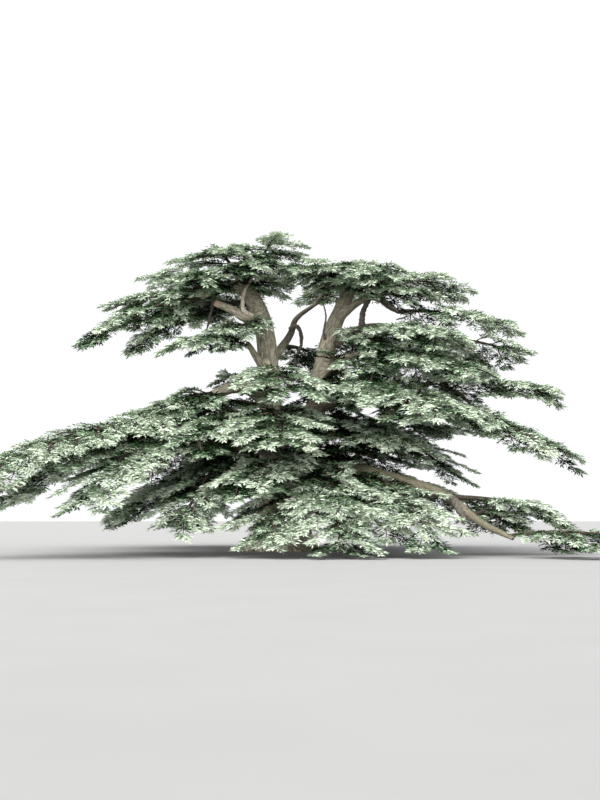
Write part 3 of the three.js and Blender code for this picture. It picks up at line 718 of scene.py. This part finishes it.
def rule_twigs(leader, breadth, sag, random):
    """The model's own side twigs."""
    wanted = round(curve_length(leader) / TWIG_SPACING)
    count = min(max(wanted, FEWEST_TWIGS), MOST_TWIGS)
    twigs = []
    for index in range(count):
        share = (index + 0.5) / count
        t = TWIG_FIRST + (TWIG_LAST - TWIG_FIRST) * share
        side = 1 if index % 2 == 0 else -1
        spread = (random() - 0.5) * 2 * TWIG_ANGLE_SPREAD
        angle = math.radians(TWIG_ANGLE - TWIG_SWEEP * share + spread)
        stretch = TWIG_LENGTH_LEAST + TWIG_LENGTH_SPREAD * random()
        length = breadth / 2 * outline(t) * stretch
        rise = (random() - 0.5) * 2 * TWIG_RISE_SPREAD
        twigs.append(side_twig(leader, t, side, angle, length, rise, sag))
    return twigs


def between_twigs(leader, breadth, sag, rng):
    """Twigs between the model's own, on storeys above and below it."""
    count = round(curve_length(leader) / BETWEEN_SPACING)
    twigs = []
    for index in range(count):
        share = (index + rng.random()) / count
        t = BETWEEN_FIRST + BETWEEN_SPAN * share
        side = -1 if index % 2 == 0 else 1
        spread = rng.normal(0, BETWEEN_ANGLE_SPREAD)
        angle = math.radians(TWIG_ANGLE - TWIG_SWEEP * share + spread)
        length = breadth / 2 * outline(t) * rng.uniform(*BETWEEN_LENGTHS)
        rise = rng.choice(LEVELS) + rng.normal(0, LEVEL_SPREAD)
        rise *= 1 - STOREYS_MEET * share
        twig = side_twig(leader, t, side, angle, length, rise, sag)
        twig[1, 2] += LEVEL_BEND * rise
        twigs.append(twig)
    return twigs


def fine_twigs(parent, rng):
    """Fine twigs to both sides of a side twig, shorter and more drooping towards its tip. Gives
    their points, and how far out on their side twig they grow."""
    length = np.linalg.norm(parent[2] - parent[0])
    count = max(FEWEST_FINE, round(length / FINE_SPACING))
    span = FINE_LAST - FINE_FIRST
    s = np.tile(FINE_FIRST + span * (np.arange(count) + 0.5) / count, 2)
    s += rng.uniform(-FINE_JITTER, FINE_JITTER, 2 * count) / count * span
    side = np.repeat([-1.0, 1.0], count)[:, None]
    base = bezier(parent, s)
    along = bend_tangents(*parent, s)
    across = unit(np.cross(UP, along))
    spread = rng.normal(0, FINE_ANGLE_SPREAD, 2 * count)
    angle = np.radians(FINE_ANGLE * (1 - FINE_SWEEP * s) + spread)[:, None]
    reach = np.minimum(FINE_LONGEST, FINE_SHORTEST + FINE_SHARE * length * (1 - s))
    reach = (reach * rng.uniform(*FINE_LENGTHS, 2 * count))[:, None]
    droop = rng.uniform(*FINE_DROOP, 2 * count)[:, None] * (FINE_DROOP_AT_FOOT + s[:, None])
    end = base + reach * (along * np.cos(angle) + across * side * np.sin(angle) - UP * droop)
    bend = (base + end) / 2 + UP * FINE_ARCH * reach
    tip = bezier(parent, np.array(SIDE_END))
    twigs = np.concatenate([np.stack([base, bend, end], 1), tip[None]])
    return twigs, np.append(s, 1.0)


def tuft_directions(along, across, place, rng):
    """Which way each tuft points along its twig, alternately left and right. The last one points
    nearly straight on, and those further out droop."""
    shape = along.shape[:2]
    above = np.cross(along, across)
    side = np.where(np.arange(shape[1]) % 2 == 0, 1.0, -1.0)
    angle = np.radians(TUFT_ANGLE * side + rng.normal(0, TUFT_ANGLE_SPREAD, shape))
    angle[:, -1] *= LAST_TUFT_TURN
    tilt = rng.normal(TUFT_LIFT, TUFT_TILT, shape) - TUFT_DROOP * place[:, None]
    return unit(along * np.cos(angle)[..., None] + across * np.sin(angle)[..., None]
                + above * tilt[..., None])


def tufts(twigs, place, rng):
    """The corners and triangles of the tufts on fine twigs. They lie nearly flat."""
    shape = (len(twigs), TUFTS_PER_TWIG)
    u = np.arange(TUFTS_PER_TWIG) + rng.uniform(0, 1, shape)
    u = TUFT_FIRST + (1 - TUFT_FIRST) * u / TUFTS_PER_TWIG
    u[:, -1] = TUFT_LAST
    start, middle, end = (twigs[:, None, k] for k in range(3))
    base = bezier([start, middle, end], u)
    along = bend_tangents(start, middle, end, u)
    across = unit(np.cross(UP, along))
    direction = tuft_directions(along, across, place, rng)
    flat = unit(np.cross(np.cross(along, across), direction))
    normal = np.cross(direction, flat)
    roll = rng.normal(0, TUFT_ROLL, shape)[..., None]
    width = flat * np.cos(roll) + normal * np.sin(roll)
    normal = np.cross(direction, width)
    size = TUFT_LENGTH * rng.uniform(*TUFT_LENGTHS, shape) * (1 - TUFT_TAPER * u)
    axes = np.stack([direction, width, normal], -2)
    corners = base[..., None, :] + (TUFT_CORNERS @ axes) * size[..., None, None]
    first = np.arange(size.size)[:, None, None] * len(TUFT_CORNERS)
    return corners.reshape(-1, 3), (first + TUFT_TRIANGLES).reshape(-1, 3)


def tuft_tones(value, rng):
    """The colour number of every tuft: painted light further out and up, painted shade within and
    below.
    """
    value = value[:, None] + rng.normal(0, TUFT_TONE_SPREAD, (len(value), TUFTS_PER_TWIG))
    tones = np.select([value > step for step in TONE_STEPS], [0, 1, 2], 3)
    dead = rng.random(tones.shape) < DEAD_SHARE
    return np.where(dead, 4, tones).ravel()


def painted_depth_shading(points):
    """Painted shade deep in the crown, and a little painted light at its outside."""
    across = np.hypot(points[:, 0], points[:, 1]) / CROWN_REACH
    outward = np.hypot(across, points[:, 2] / CROWN_HEIGHT)
    return DEPTH_LIGHT_AND_SHADE * np.interp(outward, DEPTH_PLACES, DEPTH_SHARES)


def above_ground(corners):
    """Low foliage spreads out just over the ground."""
    height = corners[..., 2]
    room = GROUND_LAYER - GROUND_CLEARANCE
    lifted = GROUND_CLEARANCE + room * np.exp((height - GROUND_LAYER) / room)
    corners[..., 2] = np.where(height < GROUND_LAYER, lifted, height)
    return corners


def add_tubes(soup, lines, radii, sides):
    corners, triangles = tubes(lines, radii, sides)
    soup.add(above_ground(corners), triangles)


def add_foliage(branches, tones, rng, needles, twigs):
    """Adds the side twigs themselves, their fine twigs and the tufts on those."""
    s = np.linspace(0, 1, SIDE_ROWS)
    lines = np.array([bezier(branch, s) for branch in branches])
    radii = TWIG_TIP_RADIUS + SIDE_RADIUS * (1 - s[:-1])
    add_tubes(twigs, lines, np.tile(radii, (len(lines), 1)), SIDE_SIDES)
    rows = [fine_twigs(branch, rng) for branch in branches]
    fine = np.concatenate([row[0] for row in rows])
    place = np.concatenate([row[1] for row in rows])
    tone = np.repeat(tones, [len(row[1]) for row in rows])
    add_tubes(twigs, fine[:, [0, 2]], np.full((len(fine), 1), FINE_RADIUS), FINE_SIDES)
    corners, triangles = tufts(fine, place, rng)
    # The tone is painted light and shade: paler out along the side twig, on upper storeys and at the
    # crown's outside.
    tones = tuft_tones(place + tone + painted_depth_shading(fine[:, 0]), rng)
    needles.add(above_ground(corners), triangles, np.repeat(tones, len(TUFT_TRIANGLES)))


def grow_mass(mass, seed, needles, twigs):
    """Adds one mass to the soups of needles and twigs."""
    on, at, tip, breadth, sag, arch = mass
    rng = np.random.default_rng(seed)
    leader = leader_curve(on, at, tip, arch)
    branches = rule_twigs(leader, breadth, sag, seeded_random(seed))
    branches += between_twigs(leader, breadth, sag, rng)
    branches.append(leader(np.array(LEADER_END)))
    t = np.linspace(0, 1, LEADER_ROWS)
    thick = min(LEADER_RADIUS, LEADER_SHARE_OF_LIMB * float(limb_radius(on, at)))
    radii = TWIG_TIP_RADIUS + thick * (1 - t[:-1]) ** LEADER_TAPER
    add_tubes(twigs, [leader(t)], [radii], LEADER_SIDES)
    # Painted light on the upper storeys and painted shade on the lower ones, with a random tone for
    # each mass.
    tones = rng.normal(0, MASS_TONE_SPREAD) + STOREY_LIGHT_AND_SHADE * storeys(leader, branches)
    add_foliage(branches, tones, rng, needles, twigs)


def grow_fronds(name, seed, needles, twigs):
    """Adds the fronds that stand on one bough."""
    rng = np.random.default_rng(seed)
    curve = CURVES[name]
    length = curve_length(lambda t: spline(curve, t))
    count = round(length * (1 - FROND_FIRST) / FROND_SPACING)
    branches = []
    for index in range(count):
        t = FROND_FIRST + (FROND_LAST - FROND_FIRST) * (index + rng.random()) / count
        base = spline(curve, t)[0]
        along = tangents(lambda place: spline(curve, place), [t])[0]
        across = unit(np.array([-along[1], along[0], 0])) * (1 if index % 2 == 0 else -1)
        angle = math.radians(rng.uniform(*FROND_ANGLES))
        reach = rng.uniform(*FROND_LENGTHS)
        end = base + reach * (along * math.cos(angle) + across * math.sin(angle))
        end[2] += rng.uniform(*FROND_RISES)
        branches.append(np.array([base, (base + end) / 2 + UP * FROND_BEND_RISE, end]))
    add_foliage(branches, np.full(count, FROND_PAINTED_SHADE), rng, needles, twigs)


# Materials.

# Tones from dark to pale.
BARK_TONES = ((0.1, 0.088, 0.062), (0.4, 0.36, 0.27), (0.76, 0.73, 0.6))
CRACK_TONES = ((0.02, 0.016, 0.012), (0.36, 0.33, 0.26))
# Twig tones are the twigs' own brown, deepened by painted shade within the crown.
TWIG_TONES = ((0.018, 0.014, 0.01), (0.05, 0.04, 0.03), (0.12, 0.1, 0.08))
DEAD_WOOD_TONES = ((0.1, 0.08, 0.064), (0.25, 0.21, 0.17), (0.36, 0.32, 0.27))
FLOOR_TONES = ((0.235, 0.235, 0.23), (0.245, 0.245, 0.24))
MOSS = (0.13, 0.135, 0.075)
TORN_WOOD = (0.56, 0.36, 0.29)
# Needle tones, used largely as lit and shaded copies of one green: pale stands for lit tops as painted
# light, shaded is a near-black painted shade, sage and green lie between; dead is the needles' own
# colour.
NEEDLE_TONES = {
    "needles_pale": (0.49, 0.56, 0.44),
    "needles_sage": (0.245, 0.328, 0.214),
    "needles_green": (0.046, 0.1, 0.042),
    "needles_shaded": (0.004, 0.014, 0.003),
    "needles_dead": (0.2, 0.125, 0.065),
}

# Tints of the bark by place: painted shade on the back of the tree, painted shade in a darker brown on
# the right stem,
# and moss on the boughs in front. Columns: the axis, where the tint begins, where it is full, its
# strength and its colour.
BARK_SHADE_AND_TINTS = [
    ("Y", 0.9, 2.2, 0.75, (0.03, 0.028, 0.022)),
    ("X", 0, 1.4, 0.4, (0.13, 0.105, 0.08)),
    ("Y", -2.2, -3.6, 0.55, (0.09, 0.085, 0.045)),
]


def new_material(name):
    material = bpy.data.materials.new(name)
    material.use_nodes = True
    tree = material.node_tree
    return material, tree, tree.nodes["Principled BSDF"]


def add_node(tree, kind, inputs, **settings):
    """Adds a node with these settings, and gives its outputs. Each input is a value or a link."""
    node = tree.nodes.new(kind)
    for name, value in settings.items():
        setattr(node, name, value)
    for name, value in inputs.items():
        if isinstance(value, bpy.types.NodeSocket):
            tree.links.new(value, node.inputs[name])
        else:
            node.inputs[name].default_value = value
    return node.outputs


def ramp(tree, factor, places, tones):
    node = tree.nodes.new("ShaderNodeValToRGB")
    elements = node.color_ramp.elements
    while len(elements) < len(places):
        elements.new(0.5)
    for element, place, tone in zip(elements, places, tones):
        element.position = place
        element.color = (*tone, 1)
    tree.links.new(factor, node.inputs["Fac"])
    return node.outputs["Color"]


def noise_texture(tree, vector, scale, detail, roughness):
    inputs = {"Vector": vector, "Scale": scale, "Detail": detail, "Roughness": roughness}
    return add_node(tree, "ShaderNodeTexNoise", inputs)["Fac"]


def object_place(tree):
    return add_node(tree, "ShaderNodeTexCoord", {})["Object"]


def coat(tree, shader, colour, roughness, gloss=0.5):
    tree.links.new(colour, shader.inputs["Base Color"])
    shader.inputs["Roughness"].default_value = roughness
    shader.inputs["Specular IOR Level"].default_value = gloss


def bump(tree, shader, height, strength, distance):
    inputs = {"Height": height, "Strength": strength, "Distance": distance}
    tree.links.new(add_node(tree, "ShaderNodeBump", inputs)["Normal"], shader.inputs["Normal"])


def mixed(tree, factor, first, second, kind="MIX"):
    """Mixes two colours. The factor may be a plain number, and the second a plain colour."""
    if isinstance(second, tuple):
        second = (*second, 1)
    inputs = {"Factor": factor, "A": first, "B": second}
    return add_node(tree, "ShaderNodeMix", inputs, data_type="RGBA", blend_type=kind)["Result"]


def vector_maths(tree, operation, first, second):
    inputs = {0: first, 1: second}
    return add_node(tree, "ShaderNodeVectorMath", inputs, operation=operation)["Value"]


def maths(tree, operation, first, second):
    return add_node(tree, "ShaderNodeMath", {0: first, 1: second}, operation=operation)["Value"]


def axes(tree, vector):
    return add_node(tree, "ShaderNodeSeparateXYZ", {"Vector": vector})


def scaled_range(tree, value, low, high, out_low, out_high):
    inputs = {"Value": value, "From Min": low, "From Max": high, "To Min": out_low, "To Max": out_high}
    return add_node(tree, "ShaderNodeMapRange", inputs)["Result"]


def bark_colour(tree, ridges, cracks):
    """Pale ridges, darker between them and darkest in the cracks."""
    colour = ramp(tree, ridges, (0.3, 0.5, 0.7), BARK_TONES)
    dark = ramp(tree, cracks, (0, 0.6), CRACK_TONES)
    darkened = mixed(tree, 0.55, colour, dark, "MULTIPLY")
    return mixed(tree, 0.45, colour, darkened)


def moss_share(tree):
    """Moss grows in patches on what faces up."""
    facing = axes(tree, add_node(tree, "ShaderNodeNewGeometry", {})["Normal"])
    patches = noise_texture(tree, object_place(tree), 1.7, 3, 0.6)
    return maths(tree, "MULTIPLY", scaled_range(tree, facing["Z"], 0.25, 0.9, 0, 0.75),
                 scaled_range(tree, patches, 0.4, 0.6, 0, 1))


def shaded_and_tinted_by_place(tree, colour):
    """Adds the tints by place, with the painted shade on the back and on the right stem, and the torn
    wood at the end of the broken branch.
    """
    place = object_place(tree)
    along = axes(tree, place)
    for axis, begins, full, strength, tint in BARK_SHADE_AND_TINTS:
        share = scaled_range(tree, along[axis], begins, full, 0, strength)
        colour = mixed(tree, share, colour, tint)
    distance = vector_maths(tree, "DISTANCE", place, SNAGS["broken_branch"][2][-1])
    return mixed(tree, scaled_range(tree, distance, 0.25, 0.42, 0.85, 0), colour, TORN_WOOD)


def bark_material():
    """Grey-brown bark in long scaly ridges, dark in the cracks and greenish on top, with painted shade
    on the back of the tree and the right stem.
    """
    material, tree, shader = new_material("bark")
    along = add_node(tree, "ShaderNodeAttribute", {}, attribute_name="grain")["Vector"]
    ridges = noise_texture(tree, along, 14, 6, 0.65)
    plates = add_node(tree, "ShaderNodeTexVoronoi", {"Vector": along, "Scale": 11},
                      feature="DISTANCE_TO_EDGE")
    cracks = scaled_range(tree, plates["Distance"], 0, 0.12, 0, 1)
    colour = mixed(tree, moss_share(tree), bark_colour(tree, ridges, cracks), MOSS)
    tree.links.new(shaded_and_tinted_by_place(tree, colour), shader.inputs["Base Color"])
    tree.links.new(scaled_range(tree, ridges, 0.3, 0.7, 0.95, 0.75), shader.inputs["Roughness"])
    shader.inputs["Specular IOR Level"].default_value = 0.25
    height = maths(tree, "ADD", ridges, scaled_range(tree, cracks, 0, 1, 0, 0.6))
    bump(tree, shader, height, 0.9, 0.03)
    return material


def twig_material():
    """Brown-grey twigs with paler flecks, their own dark brown deepened by painted shade within the
    foliage.
    """
    material, tree, shader = new_material("twig_bark")
    flecks = noise_texture(tree, object_place(tree), 18, 5, 0.6)
    colour = ramp(tree, flecks, (0.32, 0.55, 0.75), TWIG_TONES)
    coat(tree, shader, colour, 0.9, 0.2)
    bump(tree, shader, flecks, 0.6, 0.01)
    return material


def dead_wood_material(name, shade):
    """Weathered wood, streaked grey and brown, darker or paler by its shade."""
    material, tree, shader = new_material(name)
    streaks = noise_texture(tree, object_place(tree), 9, 6, 0.65)
    tones = [tuple(shade * value for value in tone) for tone in DEAD_WOOD_TONES]
    colour = ramp(tree, streaks, (0.3, 0.5, 0.7), tones)
    coat(tree, shader, colour, 0.9)
    bump(tree, shader, streaks, 0.8, 0.02)
    return material


def needle_material(name, tone):
    """Needles of one tone, with small changes from place to place."""
    material, tree, shader = new_material(name)
    clumps = noise_texture(tree, object_place(tree), 5, 5, 0.7)
    darker = tuple(0.72 * value for value in tone)
    paler = tuple(min(1.0, 1.2 * value) for value in tone)
    colour = ramp(tree, clumps, (0.3, 0.5, 0.7), (darker, tone, paler))
    coat(tree, shader, colour, 0.8, 0.03)
    bump(tree, shader, noise_texture(tree, object_place(tree), 60, 2, 0.5), 0.4, 0.01)
    return material


def floor_material():
    material, tree, shader = new_material("floor")
    spots = noise_texture(tree, object_place(tree), 0.4, 4, 0.5)
    colour = ramp(tree, spots, (0.3, 0.7), FLOOR_TONES)
    coat(tree, shader, colour, 0.9)
    return material


# Surroundings: a pale floor, a bright overcast sky and the camera where the photographer stood.

CAMERA_PLACE = (0.89, -60, 1.6)
CAMERA_PITCH = 96
CAMERA_LENS = 51.4
CAMERA_SENSOR = 36
CAMERA_SIGHT = 1500
FLOOR_SIZE = 6000
SKY_STRENGTH = 7
SKY_BRIGHTEST = (-0.5, -0.65, 0.57)
SKY_TONES = ((0.15, 0.152, 0.154), (0.28, 0.283, 0.286), (0.62, 0.62, 0.62), (0.9, 0.9, 0.9))


def make_floor():
    half = FLOOR_SIZE / 2
    corners = [(-half, -half, 0), (half, -half, 0), (half, half, 0), (-half, half, 0)]
    mesh = bpy.data.meshes.new("floor")
    mesh.from_pydata(corners, [], [(0, 1, 2, 3)])
    floor = link("floor", mesh, [floor_material()])


def make_sky():
    """A cloudy sky, brightest to the left behind the photographer."""
    world = bpy.data.worlds.new("sky")
    bpy.context.scene.world = world
    world.use_nodes = True
    tree = world.node_tree
    direction = add_node(tree, "ShaderNodeTexCoord", {})["Generated"]
    brightness = vector_maths(tree, "DOT_PRODUCT", direction, SKY_BRIGHTEST)
    clouds = ramp(tree, brightness, (0, 0.4, 0.8, 1), SKY_TONES)
    background = tree.nodes["Background"]
    background.inputs["Strength"].default_value = SKY_STRENGTH
    tree.links.new(clouds, background.inputs["Color"])


def make_camera():
    data = bpy.data.cameras.new("camera")
    data.lens = CAMERA_LENS
    data.sensor_width = CAMERA_SENSOR
    data.clip_end = CAMERA_SIGHT
    camera = bpy.data.objects.new("camera", data)
    camera.location = CAMERA_PLACE
    camera.rotation_euler = (math.radians(CAMERA_PITCH), 0, 0)
    bpy.context.scene.collection.objects.link(camera)
    bpy.context.scene.camera = camera


def all_growths():
    """All that grows, in order: the function that grows it, what that takes, and its seed."""
    boughs = [name for name in LIMBS if name.startswith("bough") and name not in BARE_BOUGHS]
    growths = [(grow_fronds, name, FROND_SEED + number) for number, name in enumerate(boughs)]
    growths += [(grow_mass, shoot, SHOOT_SEED + number) for number, shoot in enumerate(SHOOTS)]
    growths += [(grow_mass, name, seed) for seed, name in enumerate(MASSES, 1)]
    return growths


def make_foliage():
    """Needles and twigs of all fronds, shoots and masses, dealt out to pieces of limited size."""
    materials = [needle_material(*item) for item in NEEDLE_TONES.items()]
    twigs = [Soup(), Soup()]
    batches = [(Soup(), [])]
    growths = all_growths()
    for number, (grow, plan, seed) in enumerate(growths):
        needles, names = batches[-1]
        if needles.size() > PIECE_TRIANGLES:
            needles, names = Soup(), []
            batches.append((needles, names))
        if plan in MASSES:
            names.append(plan)
        grow(MASSES.get(plan, plan), seed, needles, twigs[2 * number // len(growths)])
    for number, (soup, names) in enumerate(batches, 1):
        piece = link(f"needles_{number}", soup.mesh(f"needles_{number}", True), materials)
        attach(piece, "root")
        if names:
            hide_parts(*names)
    bark = twig_material()
    for number, soup in enumerate(twigs, 1):
        piece = link(f"twigs_{number}", soup.mesh(f"twigs_{number}", True), [bark])
        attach(piece, "root")


def make_bare_branches():
    """Thin bare branches, with a slight swell and pinch along them. The riser is bleached."""
    rng = np.random.default_rng(BARE_SEED)
    soup = Soup()
    t = np.linspace(0, 1, BARE_ROWS)
    for name, (points, (first, last)) in BARE_BRANCHES.items():
        line = spline(points, t) + rng.normal(0, BARE_WAVER, (BARE_ROWS, 3))
        line = np.concatenate([line, line[-1:]])
        radii = (first + (last - first) * t) * rng.uniform(*BARE_SWELLS, BARE_ROWS)
        corners, triangles = tubes([line], radii[None], BARE_SIDES, BARE_SIDE, closed=True)
        soup.add(corners, triangles, 1 if name == "pale_riser" else 0)
    materials = [dead_wood_material("dead_wood", 0.4), dead_wood_material("bleached_wood", 2.1)]
    piece = link("bare_branches", soup.mesh("bare_branches", True), materials)
    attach(piece, "root")


def make_bark():
    piece = bark_piece([bark_material()])
    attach(piece, "root")
    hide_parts("trunk", *LIMBS)


bpy.context.scene.view_settings.view_transform = "Standard"
make_camera()
make_sky()
make_floor()
make_bark()
make_bare_branches()
make_foliage()
